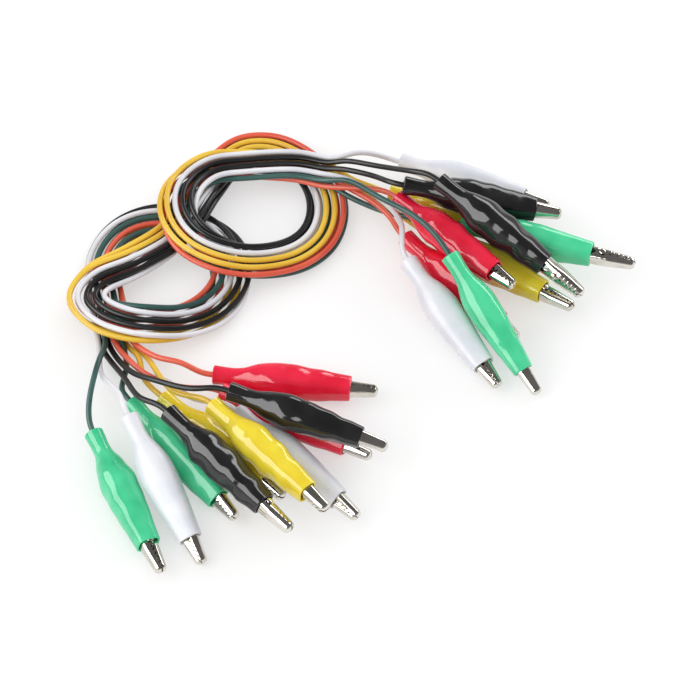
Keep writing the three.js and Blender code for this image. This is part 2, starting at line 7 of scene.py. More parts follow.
import bmesh
import bpy
import numpy as np
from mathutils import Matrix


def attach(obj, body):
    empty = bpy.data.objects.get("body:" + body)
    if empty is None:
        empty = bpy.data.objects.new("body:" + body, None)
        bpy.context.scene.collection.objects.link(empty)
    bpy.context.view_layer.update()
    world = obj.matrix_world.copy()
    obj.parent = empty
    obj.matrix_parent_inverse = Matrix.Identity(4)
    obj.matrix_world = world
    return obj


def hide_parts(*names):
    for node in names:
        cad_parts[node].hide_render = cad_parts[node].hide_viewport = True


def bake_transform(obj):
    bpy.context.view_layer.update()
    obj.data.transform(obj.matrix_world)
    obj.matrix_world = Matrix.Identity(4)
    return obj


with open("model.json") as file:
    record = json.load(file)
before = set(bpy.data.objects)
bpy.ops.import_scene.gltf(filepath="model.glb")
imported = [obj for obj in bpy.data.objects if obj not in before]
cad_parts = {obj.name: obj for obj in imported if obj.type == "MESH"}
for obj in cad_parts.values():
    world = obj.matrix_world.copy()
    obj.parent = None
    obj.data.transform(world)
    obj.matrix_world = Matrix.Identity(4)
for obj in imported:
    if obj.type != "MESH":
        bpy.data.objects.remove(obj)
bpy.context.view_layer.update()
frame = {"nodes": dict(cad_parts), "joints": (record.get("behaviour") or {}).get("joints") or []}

# ---------------------------------------------------------------------------------------------
# View and clip places. The camera looks down on the set from the front. Each clip has a frame
# of its own, with the hinge at its origin, +X to the nose and the pivoting jaw above z = 0.

# in their order round the bundle
LEADS = ["black_2", "black_1", "white_1", "green_1", "red_1",
         "green_2", "red_2", "yellow_2", "yellow_1", "white_2"]

# rear end of the boot in millimetres, heading, dip and roll in degrees, slide of the boot
CLIPS = {
    "green_1a": ([-69.4, -31.6, 5.9], -65, 2.4, 76, 1.5),
    "white_1a": ([-59.5, -31.7, 14.3], -62, 16, -65, 0),
    "green_2a": ([-59.5, -22.5, 7.4], -50, 5, -50, 0),
    "black_1a": ([-49.0, -30.9, 15.2], -46, 5, 65, 3),
    "yellow_1a": ([-51.1, -20.1, 6.2], -42.5, 3, -30, 0),
    "yellow_2a": ([-37.1, -28.1, 14.5], -47, 0.3, -5, 0),
    "white_2a": ([-30.8, -26.3, 8.7], -43, 6.3, -50, 0),
    "black_2a": ([-32.7, -25.1, 16.7], -19, 6.6, 20, 0),
    "red_1a": ([-35.1, -17.9, 5.8], -26, 2.4, 40, 0),
    "red_2a": ([-37.6, -12.2, 5.6], -6, 1.4, 80, 0),
    "white_2b": ([14.6, 62.9, 4.5], -22.5, -2.4, 20, 0),
    "black_1b": ([15.0, 44.0, 18.0], -6, 9.2, 88, 0),
    "black_2b": ([24.7, 41.1, 23.8], -37, 14.5, -28, 6),
    "green_2b": ([31.3, 36.8, 9.1], -17, -1.4, 88, 5),
    "yellow_2b": ([22.4, 37.0, 4.6], -34, -1.9, 85, 2.5),
    "red_1b": ([13.4, 43.3, 12.8], -45.5, -3, -70, 0),
    "red_2b": ([15.5, 34.3, 6.5], -47, 3.6, -42, 0),
    "white_1b": ([16.1, 23.3, 10.2], -56.5, 9.5, -75, 0),
    "green_1b": ([27.5, 18.3, 19.5], -55, 22.4, 20, 0),
    "yellow_1b": ([11.2, 50.0, 6.6], -17, 4, 0, 0),
}
BOOT_LENGTH = 38.0
MOUTH_AHEAD = 2.0  # from the hinge to the mouth of a boot that hasn't slid back


def label_of(key):
    """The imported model's name for a clip."""
    return key[:-1] + "_clip_" + key[-1]


def in_single_pieces(key):
    """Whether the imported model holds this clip's boot, lower jaw, rivet and spring apart."""
    return key[:-1] == "green_1"


def turned(heading, dip, roll):
    """Rotation matrix: first a roll about X, then a dip about Y, then a heading about Z."""
    h, d, r = np.radians([heading, dip, roll])
    about_z = np.array([[np.cos(h), -np.sin(h), 0], [np.sin(h), np.cos(h), 0], [0, 0, 1]])
    about_y = np.array([[np.cos(d), 0, np.sin(d)], [0, 1, 0], [-np.sin(d), 0, np.cos(d)]])
    about_x = np.array([[1, 0, 0], [0, np.cos(r), -np.sin(r)], [0, np.sin(r), np.cos(r)]])
    return about_z @ about_y @ about_x


def boot_rear(slide):
    """Where the boot's rear end is along the clip."""
    return MOUTH_AHEAD - BOOT_LENGTH - slide


turns, hinges = {}, {}
for key, (rear, heading, dip, roll, slide) in CLIPS.items():
    turns[key] = turned(heading, dip, roll)
    hinges[key] = np.array(rear) - turns[key] @ [boot_rear(slide), 0, 0]

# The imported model's origin, from where it has the first clip's hinge.
packed = {j["name"]: np.array(j["pos_m"]) * 1000 for j in frame["joints"]}
SHIFT = packed["green_1_clip_a_hinge"] - hinges["green_1a"]


def placed(points, key):
    """Points of a clip's own frame in the set's frame: turned, then moved to its hinge."""
    return points @ turns[key].T + hinges[key] + SHIFT


ELEVATION = math.radians(55)
CAMERA_DISTANCE = 900
SENSOR_WIDTH = 36
FRAME_PIXELS = 700
FOCAL_PIXELS = 3240
camera_data = bpy.data.cameras.new("camera")
camera_data.lens = SENSOR_WIDTH * FOCAL_PIXELS / FRAME_PIXELS
camera_data.sensor_width = SENSOR_WIDTH
camera_data.clip_start, camera_data.clip_end = 0.05, 50
camera = bpy.data.objects.new("camera", camera_data)
aim_back = np.array([0, -math.cos(ELEVATION), math.sin(ELEVATION)])
camera.location = (SHIFT + CAMERA_DISTANCE * aim_back) / 1000
camera.rotation_euler = (math.pi / 2 - ELEVATION, 0, 0)
bpy.context.scene.collection.objects.link(camera)
bpy.context.scene.camera = camera
bpy.context.scene.view_settings.view_transform = "Standard"

# ---------------------------------------------------------------------------------------------
# Wires. Ten lengths of light test wire, 1.6 mm over a satin PVC insulation. They lie as one
# bundle of two rows, which turn round each other and spread a little on the free bends, once
# round each of two coils.

WIRE_RADIUS = 0.8
CRIMP_REAR = -21.0
WIRE_END_GAP = 0.3
STRAIGHT_OUT = 3.0
ROW_HALF_GAP = 1.1
STATION_SPACING = 8.3
MIDDLE_STEPS = 40
WIRE_STEPS = 12
WIRE_SPACING = 1.1
WIRE_SIDES = 12
WIRE_LIFT = 0.02
EASE_REACH = 2.2
# at equal steps along the bundle: turns of the rows so far, and their length
TURNING = [0, 0.12, 0.28, 0.34, 0.34, 0.28, 0.16, 0.02, -0.12, -0.25, -0.3]
ROW_LENGTHS = [7.5, 7.5, 8.5, 9, 7.5, 7.5, 8, 9, 8.5, 7.5, 7.5]

# of each coil: its middle, first and last angle, and radii and heights at equal steps
UPPER_COIL = ([-27.5, 45], 138, 444,
              [18.3, 20.8, 22.4, 19.7, 18.5, 20, 21.4, 23.2, 25.2],
              [8.4, 11.1, 10.9, 7.5, 4.6, 2.6, 2.4, 2.4, 2.3])
LOWER_COIL = ([-53.5, 22.5], 221, 563,
              [22.7, 19.2, 17.8, 18.9, 20.6, 20.9, 21, 19.7, 16.6, 15.9],
              [8, 7.7, 4.7, 2.6, 2.2, 2.2, 2.2, 2.2, 2.2, 2.2])
# the bundle's middle line before, between and after the coils
BUNDLE_START = [[-6.3, 57, 7], [-14.2, 59.4, 7], [-22.2, 59.9, 7], [-30.1, 59.6, 7.2],
                [-36.2, 59.2, 7.8]]
LINK = [[-31.2, 68.9, 2.3], [-35.6, 64.9, 2.3], [-38.9, 59.2, 2.4], [-42.2, 51.1, 5.6],
        [-45.6, 42.4, 7], [-50, 35.3, 6.5], [-55.6, 29.9, 6.5], [-61.7, 25.3, 6.5],
        [-66.6, 22.5, 6.6], [-70.4, 19.9, 6.8], [-72.9, 17.1, 6.9], [-73.8, 13.8, 7.1],
        [-73.2, 10.6, 7.4]]
BUNDLE_END = [[-67.1, 9.7, 2.3], [-65.9, 4.9, 2.4], [-65, 0.5, 2.6]]
# each wire's own way between the bundle and its two boots
FANS = {
    "white_2b": [[10, 64.5, 5], [2, 63, 9], [-2, 61.5, 9]],
    "black_1b": [[11.5, 44.5, 18.5], [5.5, 52, 12.5], [-4.5, 57.5, 8.5]],
    "black_2b": [[18, 44.5, 23.5], [8.5, 53, 15], [-2.5, 59.5, 9.5]],
    "green_2b": [[22.5, 40, 7.5], [11.5, 45, 3.5], [-0.5, 50, 5]],
    "yellow_2b": [[17, 42.5, 3], [10, 49, 2], [-1, 55, 5]],
    "red_1b": [[8.5, 47, 12], [0.5, 50, 9]],
    "red_2b": [[12, 41, 6], [7, 46.5, 6.5], [-3, 54, 6]],
    "white_1b": [[14.5, 29, 11.5], [14.5, 36, 11], [8, 47, 8.5], [-3, 55, 8]],
    "green_1b": [[23.5, 24.5, 21], [18, 31.5, 20], [8.5, 41, 16], [-1, 50.5, 12]],
    "yellow_1b": [[7, 52, 6.5], [-1, 57.5, 4.5]],
    "green_1a": [[-69, -10, 8.5], [-71, -22.5, 7.5]],
    "white_1a": [[-68.5, -11, 5], [-62, -25, 14.5]],
    "green_2a": [[-61.5, -6.5, 3], [-62.5, -18, 6.5]],
    "black_1a": [[-61.5, -15, 8], [-56.5, -25.5, 13.5]],
    "black_2a": [[-59.5, -13.5, 8.5], [-53, -19, 13], [-43, -24, 16]],
    "yellow_1a": [[-58, -5.5, 4.5], [-57, -12.5, 5]],
    "yellow_2a": [[-56, -5, 3.5], [-52, -16, 11], [-48.5, -21.5, 11.5], [-41.5, -25, 13.5]],
    "white_2a": [[-57, -8.5, 1], [-49.5, -13.5, 4], [-43.5, -19.5, 5]],
    "red_1a": [[-54.5, -15, 8.5], [-48, -17.5, 8], [-42, -17, 6]],
    "red_2a": [[-59.5, -1.5, 5], [-52.5, -8, 7.5], [-46.5, -9.5, 8]],
}


def smooth_curve(knots, steps):
    """A smooth curve through knots, with steps points to a span and the last knot. A span is a
    cubic whose end slopes come from the knots beside it, where each gap takes a time equal to
    the square root of its length."""
    k = np.vstack([2 * knots[0] - knots[1], knots, 2 * knots[-1] - knots[-2]])
    p0, p1, p2, p3 = k[:-3], k[1:-2], k[2:-1], k[3:]
    t0, t1, t2 = (np.sqrt(np.linalg.norm(b - a, axis=1, keepdims=True))
                  for a, b in ((p0, p1), (p1, p2), (p2, p3)))
    s1 = t1 * ((p1 - p0) / t0 - (p2 - p0) / (t0 + t1) + (p2 - p1) / t1)
    s2 = t1 * ((p2 - p1) / t1 - (p3 - p1) / (t1 + t2) + (p3 - p2) / t2)
    f = (np.arange(steps) / steps)[None, :, None]
    p1, p2, s1, s2 = (a[:, None, :] for a in (p1, p2, s1, s2))
    spans = p1 + s1 * f + (3 * p2 - 3 * p1 - 2 * s1 - s2) * f**2
    spans = spans + (2 * p1 - 2 * p2 + s1 + s2) * f**3
    return np.vstack([spans.reshape(-1, 3), knots[-1:]])


def smooth_along(values, share):
    """The smooth cubic through values at equal steps, taken at shares of the way along: its
    slope at a value is half the difference of the two beside it."""
    place = share * (len(values) - 1)
    i = np.minimum(place.astype(int), len(values) - 2)
    f = place - i
    v = np.array([values[0], *values, values[-1]], float)
    v0, v1, v2, v3 = v[i], v[i + 1], v[i + 2], v[i + 3]
    a = 2 * v1 - 2 * v2 + (v2 - v0) / 2 + (v3 - v1) / 2
    b = 3 * (v2 - v1) - (v2 - v0) - (v3 - v1) / 2
    return v1 + f * ((v2 - v0) / 2 + f * (b + f * a))


def coil(middle, first, last, radii, heights, steps=24):
    """A turn round middle from angle first to last, as (r cos t, r sin t, height), where the
    radii and heights are given at equal steps of the angle t."""
    share = np.linspace(0, 1, steps + 1)
    turn = np.radians(first + (last - first) * share)
    radius = smooth_along(radii, share)
    return np.stack([middle[0] + radius * np.cos(turn), middle[1] + radius * np.sin(turn),
                     smooth_along(heights, share)], 1)


def row_place(share, row):
    """Place on the bundle's flat section for a share of the way round it: two straight rows
    of a length, joined by half circles, as (aside, above)."""
    bend = math.pi * ROW_HALF_GAP
    q = np.mod(share, 1) * (2 * row + 2 * bend)
    half = row / 2
    right = (q - row) / ROW_HALF_GAP
    left = (q - 2 * row - bend) / ROW_HALF_GAP
    pick = [q < row, q < row + bend, q < 2 * row + bend]
    aside = np.select(pick, [q - half, half + ROW_HALF_GAP * np.sin(right),
                             half - (q - row - bend)],
                      -half - ROW_HALF_GAP * np.sin(left))
    above = np.select(pick, [ROW_HALF_GAP + 0 * q, ROW_HALF_GAP * np.cos(right),
                             -ROW_HALF_GAP + 0 * q], -ROW_HALF_GAP * np.cos(left))
    return aside, above


middle_knots = np.vstack([BUNDLE_START, coil(*UPPER_COIL), LINK, coil(*LOWER_COIL), BUNDLE_END])
middle_line = smooth_curve(middle_knots, MIDDLE_STEPS)
run = np.concatenate([[0], np.cumsum(np.linalg.norm(np.diff(middle_line, axis=0), axis=1))])
station_share = np.linspace(0, 1, round(run[-1] / STATION_SPACING) + 1)
stations = np.stack([np.interp(station_share * run[-1], run, middle_line[:, a])
                     for a in range(3)], 1)
slopes = np.stack([np.interp(station_share * run[-1], run, np.gradient(middle_line[:, a], run))
                   for a in range(3)], 1)
lefts = np.cross([0, 0, 1], slopes)
lefts = lefts / np.linalg.norm(lefts, axis=1, keepdims=True)


def wire_knots(lead, order):
    """The wire's knots: out of one crimp and boot, along its fan, its place in the bundle,
    along the other fan, and into the other boot and crimp."""
    def end(key):
        rear = boot_rear(CLIPS[key][4])
        along = np.array([[CRIMP_REAR - WIRE_END_GAP, 0, 0], [rear, 0, 0],
                          [rear - STRAIGHT_OUT, 0, 0]])
        return along @ turns[key].T + hinges[key]

    turned_by = smooth_along(TURNING, station_share)
    aside, above = row_place((order + 0.5) / len(LEADS) + turned_by,
                             smooth_along(ROW_LENGTHS, station_share))
    bundle = stations + lefts * aside[:, None] + np.array([[0, 0, 1.0]]) * above[:, None]
    return np.vstack([end(lead + "b"), FANS[lead + "b"], bundle, FANS[lead + "a"],
                      end(lead + "a")[::-1]]) + SHIFT


def eased(path, step, reach):
    """The path at equal steps, each point moved to the mean of its neighbours with the weights
    exp(-(d / reach)^2 / 2) of their distance d, which rounds its tightest bends. Both ends go
    on straight for the mean, so they stay where they are."""
    run = np.concatenate([[0], np.cumsum(np.linalg.norm(np.diff(path, axis=0), axis=1))])
    even = np.linspace(0, run[-1], round(run[-1] / step) + 1)
    path = np.stack([np.interp(even, run, path[:, a]) for a in range(3)], 1)
    wide = math.ceil(3 * reach / step)
    weights = np.exp(-(np.arange(-wide, wide + 1) * step / reach) ** 2 / 2)
    longer = np.vstack([2 * path[0] - path[wide:0:-1], path,
                        2 * path[-1] - path[-2:-wide - 2:-1]])
    return np.stack([np.convolve(longer[:, a], weights / weights.sum(), "valid")
                     for a in range(3)], 1)


def tube(path, radius, sides):
    """A tube round a path, closed on the path's end points: each ring is the path's point plus
    radius times (side cos a + rise sin a), where side lies level and square to the path."""
    ahead = np.gradient(path, axis=0)
    ahead = ahead / np.linalg.norm(ahead, axis=1, keepdims=True)
    side = np.cross(ahead, [0, 0, 1])
    side = side / np.linalg.norm(side, axis=1, keepdims=True)
    rise = np.cross(side, ahead)
    a = np.linspace(0, 2 * math.pi, sides, endpoint=False)[None, :, None]
    rings = path[:, None] + radius * (side[:, None] * np.cos(a) + rise[:, None] * np.sin(a))
    first = np.broadcast_to(path[:1, None], (1, sides, 3))
    last = np.broadcast_to(path[-1:, None], (1, sides, 3))
    return np.concatenate([first, rings, last])


def quads(rows, columns, round_rows=False):
    """Faces between neighbours on a grid whose columns go round, and with round_rows its
    rows too."""
    last = rows if round_rows else rows - 1
    i, j = np.meshgrid(np.arange(last), np.arange(columns), indexing="ij")
    up, over = (i + 1) % rows, (j + 1) % columns
    return np.stack([i * columns + j, i * columns + over, up * columns + over,
                     up * columns + j], -1).reshape(-1, 4)


MERGE_WITHIN = 2e-6
COLLAPSE_WITHIN = 1e-7


def make_piece(name, shells, material, slot, smooth=40):
    """A mesh object from shells of (points in millimetres, faces): equal points are merged,
    faces turned outwards, and edges sharper than smooth degrees stay sharp."""
    points, faces, start = [], [], 0
    for shell_points, shell_faces in shells:
        flat = np.asarray(shell_points, float).reshape(-1, 3)
        points.append(flat / 1000)
        faces.append(np.asarray(shell_faces) + start)
        start += len(flat)
    mesh = bpy.data.meshes.new(name)
    mesh.from_pydata(np.vstack(points).tolist(), [], np.vstack(faces).tolist())
    work = bmesh.new()
    work.from_mesh(mesh)
    bmesh.ops.remove_doubles(work, verts=work.verts, dist=MERGE_WITHIN)
    bmesh.ops.dissolve_degenerate(work, edges=work.edges, dist=COLLAPSE_WITHIN)
    bmesh.ops.recalc_face_normals(work, faces=work.faces)
    work.to_mesh(mesh)
    work.free()
    mesh.polygons.foreach_set("use_smooth", np.ones(len(mesh.polygons), bool))
    mesh.set_sharp_from_angle(angle=math.radians(smooth))
    mesh.materials.append(material)
    piece = bpy.data.objects.new(name, mesh)
    bpy.context.scene.collection.objects.link(piece)
    return piece


def feed(node, sockets):
    """Sets a node's sockets to numbers or colours, or links them to other sockets."""
    for name, value in sockets.items():
        if isinstance(value, Socket):
            value.tree.links.new(value.out, node.inputs[name])
        else:
            node.inputs[name].default_value = value


class Socket:
    """A socket of a material's nodes. + and * on it add Math nodes, and node adds any other
    node, from its kind, its settings and what goes into its sockets."""

    def __init__(self, tree, out):
        self.tree, self.out = tree, out

    def node(self, kind, settings, sockets, output=0):
        made = self.tree.nodes.new(kind)
        for setting, value in settings.items():
            setattr(made, setting, value)
        feed(made, sockets)
        return Socket(self.tree, made.outputs[output])

    def math(self, operation, a, b):
        return self.node("ShaderNodeMath", {"operation": operation}, {0: a, 1: b})

    def __add__(self, other): return self.math("ADD", self, other)
    def __radd__(self, other): return self.math("ADD", other, self)
    def __mul__(self, other): return self.math("MULTIPLY", self, other)
    def __rmul__(self, other): return self.math("MULTIPLY", other, self)

    def noise(self, scale, detail):
        """Noise at this place, with scale waves to a metre."""
        return self.node("ShaderNodeTexNoise", {}, {"Vector": self, "Scale": scale,
                                                    "Detail": detail}, "Fac")

    def ramp(self, low, high):
        """0 below low and 1 above high, with a smooth step between."""
        return self.node("ShaderNodeMapRange", {"interpolation_type": "SMOOTHSTEP"},
                         {"Value": self, "From Min": low, "From Max": high})

    def mix(self, first, second):
        """A colour that goes from first to second as this value goes from 0 to 1."""
        return self.node("ShaderNodeMix", {"data_type": "RGBA"},
                         {0: self, 6: first, 7: second}, 2)

    def bump(self, strength, depth):
        """A normal that stands on this value as a height, depth metres deep."""
        return self.node("ShaderNodeBump", {}, {"Height": self, "Strength": strength,
                                                "Distance": depth}, "Normal")


def linear(red, green, blue):
    """A screen colour of 0 to 255 each, as the light values that a shader takes: c / 12.92 for
    the darkest, and ((c + 0.055) / 1.055)^2.4 above."""
    c = np.array([red, green, blue]) / 255
    return (*np.where(c <= 0.04045, c / 12.92, ((c + 0.055) / 1.055) ** 2.4), 1.0)


def new_material(name):
    """A material with a bare principled shader, as (material, its shader, where: the place on
    the object)."""
    material = bpy.data.materials.new(name)
    material.use_nodes = True
    tree = material.node_tree
    shader = next(n for n in tree.nodes if n.type == "BSDF_PRINCIPLED")
    place = tree.nodes.new("ShaderNodeTexCoord")
    return material, shader, Socket(tree, place.outputs["Object"])


def insulation(name, colour, deep):
    """Satin PVC: a slow change of shade along the wire, a faint grain, and small scuffs."""
    material, shader, where = new_material(name)
    shade = where.noise(60, 1).ramp(0.35, 0.65)
    scuffs = where.noise(900, 3).ramp(0.6, 0.75)
    feed(shader, {"Base Color": shade.mix(deep, colour), "Roughness": 0.34 + scuffs * 0.16,
                  "Normal": where.noise(1400, 2).bump(0.25, 0.00006),
                  "Specular IOR Level": 0.5})
    return material


wire_finish = {
    "green": insulation("green_insulation", linear(58, 98, 92), linear(44, 80, 76)),
    "white": insulation("white_insulation", linear(238, 238, 242), linear(222, 222, 228)),
    "yellow": insulation("yellow_insulation", linear(245, 205, 70), linear(234, 188, 52)),
    "black": insulation("black_insulation", linear(34, 34, 36), linear(22, 22, 24)),
    "red": insulation("red_insulation", linear(236, 104, 78), linear(222, 86, 62)),
}

for order, lead in enumerate(LEADS):
    path = eased(smooth_curve(wire_knots(lead, order), WIRE_STEPS), WIRE_SPACING, EASE_REACH)
    path[:, 2] = np.maximum(path[:, 2], WIRE_RADIUS + WIRE_LIFT)
    rings = tube(path, WIRE_RADIUS, WIRE_SIDES)
    colour = lead.split("_")[0]
    wire = make_piece(lead + "_insulated_wire", [(rings, quads(*rings.shape[:2]))],
                      wire_finish[colour], "wire_" + colour)
    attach(wire, "leads")
    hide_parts(lead + "_wire")

# ---------------------------------------------------------------------------------------------
# Boots. Soft vinyl, dipped over a form and pulled over each clip: a neck that grips the wire,
# a shoulder and belly over the handles, and a long taper to a mouth that is boxed by the jaws.
# It creases over the metal.

BORE_RADIUS = 1.3
BORE_FLARE = 0.15
NECK_RADIUS = 2.45
NECK_ROUND = 0.25
NECK_END = 6
BELLY_REAR = 6.6
HOLLOW_START = 7.6  # where the bore opens to the hollow over the clip
BORE_STATIONS = [7.2, 4, 0.15, 0]
OUTER_STATIONS = [0, 5.6, 8.2, 11, 14.2, 17.5, 24, 31, 38]
OUTER_RADII = [2.7, 2.4, 2.75, 3.85, 4.65, 4.95, 4.55, 3.85, 3.2]
WALL_STATIONS = [7, 9, 18, 38]
WALLS = [1.15, 0.9, 0.75, 0.64]
LIP_HALF = 0.32
LIP_MIDDLE = 37.7
OUTSIDE_END, INSIDE_END = 37.55, 37.45
WIDTH_STATIONS = [6.5, 18, 38]
WIDTH_SHARES = [1, 0.96, 0.9]
BOX_STATIONS = [11, 22, 38]
BOX_POWERS = [2.0, 2.8, 3.2]
CORNER_REACH = 1.2
# each wave: height, radians a millimetre along, lobes round, radians a millimetre of twist
WAVES = [(0.16, 0.70, 2, 0.05), (0.05, 1.15, 3, 0), (0.07, 0.98, 0, 0)]
WAVES_REAR, WAVES_GROW = 7, 4  # they start here, and are full this much further on
WAVES_FRONT, WAVES_FADE = 36.5, 5
BOOT_SIDES = 48
FIRST_SEED = 40
TABLE_LIFT = 0.05
# how much each boot is creased over its clip, where it isn't the usual share
CREASES = {"black_1a": 1.4, "yellow_2a": 1.2, "black_2a": 1.0, "green_1a": 0.9,
           "black_2b": 1.0, "black_1b": 0.9, "red_1b": 1.0, "yellow_1a": 0.9,
           "white_1a": 0.2, "white_2a": 0.2, "white_1b": 0.2, "white_2b": 0.2,
           "green_1b": 0.3}
USUAL_CREASE = 0.5
# two places in a boot's clip, behind and ahead of the hinge
MOUTH_FOLLOWS = np.array([[-2.5, 0, 0.2], [2.2, 0, 3.2]])


def outer_radius(x):
    """The outer profile: a chain of straight stretches, with its corners rounded by taking
    the mean from CORNER_REACH behind to as far ahead."""
    reach = np.linspace(-CORNER_REACH, CORNER_REACH, 13)
    return np.mean([np.interp(x + r, OUTER_STATIONS, OUTER_RADII) for r in reach], axis=0)


def boot_shell(slide, crease, seed):
    """The boot as one closed skin, on a grid of places along its wall's outline (over the
    outside, round the lip, back inside and out of the bore) and angles a round it. A section
    is |y/b|^p + |z/r|^p = 1, where p grows from 2 to 3.2 towards the mouth. The radius r has
    waves, each a sine along it times a cosine round it. They are scaled by crease, and fade
    out at the neck and the mouth."""
    out_x = np.concatenate([np.linspace(NECK_ROUND, NECK_END, 8),
                            np.linspace(BELLY_REAR, OUTSIDE_END, 52)])
    lip = np.linspace(math.pi / 2, -math.pi / 2, 9)[1:-1]
    in_x = np.linspace(INSIDE_END, HOLLOW_START, 26)
    wall = np.interp(in_x, WALL_STATIONS, WALLS)
    lip_radius = outer_radius(LIP_MIDDLE) - LIP_HALF
    rear_turn = np.linspace(math.pi / 2, 0, 5)[:-1]
    x = np.concatenate([out_x, BOOT_LENGTH - LIP_HALF * (1 - np.cos(lip)), in_x,
                        BORE_STATIONS, NECK_ROUND - NECK_ROUND * np.sin(rear_turn)])
    r = np.concatenate([outer_radius(out_x), lip_radius + LIP_HALF * np.sin(lip),
                        outer_radius(in_x) - wall, [BORE_RADIUS] * 3,
                        [BORE_RADIUS + BORE_FLARE],
                        NECK_RADIUS - NECK_ROUND + NECK_ROUND * np.cos(rear_turn)])
    a = np.linspace(0, 2 * math.pi, BOOT_SIDES, endpoint=False)[None]
    x, r = x[:, None], r[:, None]
    p1, p2, p3, p4 = np.random.default_rng(seed).uniform(0, 2 * math.pi, 4)
    starts = [(p1, p2), (p3, p4), (p2, 0)]
    waves = sum(height * np.sin(along * x + start) * np.cos(lobes * a + start_round + twist * x)
                for (height, along, lobes, twist), (start, start_round) in zip(WAVES, starts))
    fade = (np.clip((x - WAVES_REAR) / WAVES_GROW, 0, 1)
            * np.clip((WAVES_FRONT - x) / WAVES_FADE, 0, 1))
    r = r + waves * crease * fade
    power = np.interp(x, BOX_STATIONS, BOX_POWERS)
    stretch = (np.abs(np.cos(a)) ** power + np.abs(np.sin(a)) ** power) ** (-1 / power)
    y = r * np.sin(a) * stretch * np.interp(x, WIDTH_STATIONS, WIDTH_SHARES)
    z = r * np.cos(a) * stretch
    points = np.stack([x + boot_rear(slide) + 0 * a, y, z], -1)
    return points, quads(*points.shape[:2], round_rows=True)


def vinyl(name, colour, deep, clear, sheen=0.1):
    """Dipped vinyl: a glossy skin over a body colour that is a little deeper where the coat
    is thick, with a faint orange peel and dulled patches from handling. clear is the share
    of light that goes under the skin, and sheen is its least roughness."""
    material, shader, where = new_material(name)
    thick = where.noise(150, 1.5).ramp(0.35, 0.7)
    dull = where.noise(420, 3).ramp(0.5, 0.75)
    peel = where.noise(330, 1.5) + where.noise(2600, 1) * 0.1
    feed(shader, {"Base Color": thick.mix(colour, deep), "Roughness": sheen + dull * 0.1,
                  "Normal": peel.bump(0.3, 0.0002), "Specular IOR Level": 0.65,
                  "Subsurface Weight": clear, "Subsurface Scale": 0.0015,
                  "Subsurface Radius": (1.0, 0.8, 0.6)})
    return material


vinyl_finish = {
    "green": vinyl("green_vinyl", linear(84, 217, 160), linear(66, 202, 145), 0.15),
    "white": vinyl("white_vinyl", linear(232, 233, 238), linear(224, 226, 233), 0.25, 0.38),
    "yellow": vinyl("yellow_vinyl", linear(244, 222, 66), linear(236, 208, 48), 0.15),
    "black": vinyl("black_vinyl", linear(36, 35, 36), linear(26, 25, 26), 0.0),
    "red": vinyl("red_vinyl", linear(244, 42, 72), linear(232, 28, 58), 0.1),
}

for number, key in enumerate(CLIPS):
    slide = CLIPS[key][4]
    points, faces = boot_shell(slide, CREASES.get(key, USUAL_CREASE), FIRST_SEED + number)
    points = placed(points, key)
    points[..., 2] = np.maximum(points[..., 2], TABLE_LIFT)
    colour = key.split("_")[0]
    label = label_of(key)
    boot = make_piece(label + "_vinyl_boot", [(points, faces)], vinyl_finish[colour],
                      "vinyl_" + colour, smooth=50)
    if slide < MOUTH_AHEAD:
        low, high = placed(MOUTH_FOLLOWS, key) / 1000
        label + "_jaw"
        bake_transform(boot)
    else:
        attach(boot, "leads")
    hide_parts(label + ("_boot" if in_single_pieces(key) else "_body"))

# ---------------------------------------------------------------------------------------------
# Jaws. Two stampings of nickel-plated sheet, folded to a channel with a toothed edge on both
# sides and a closed round nose. Ears at the hinge, then a handle; the lower has the crimp.

SHEET = 0.42
NOSE_REACH = 9.5
NOSE_START = 8.2
BITE_HALF = 0.22
HINGE_HALF_HEIGHT = 2.35
NOSE_HALF_HEIGHT = 1.7
TAIL_SPREAD = 3.4
HANDLE_REACH = 15.5
TEETH = 4
TOOTH_PITCH = 1.4
TOOTH_HALF_DEPTH = 0.4
SLOT_HALF = 0.55
SLOT_REAR = 2.1
EAR_RADIUS = 1.25
HOLLOW_REAR = -3.2  # the edge is hollowed from here to the ear, for the spring
HOLLOW_DEPTH = 0.92
HINGE_FLAT = 2.2  # the back is level from the hinge to here, both ways
LIP_DEPTH = 0.5
LIP_RUN = 3
LOWEST_LIP = -0.4
NOSE_POWER = 2.1
TEETH_REAR = NOSE_START - TEETH * TOOTH_PITCH
SECTION_STATIONS = [-15.5, -2, 2.5, 9.5]
SECTION_POWERS = [5, 4.5, 3, 2.4]
WALL_STEPS = 13


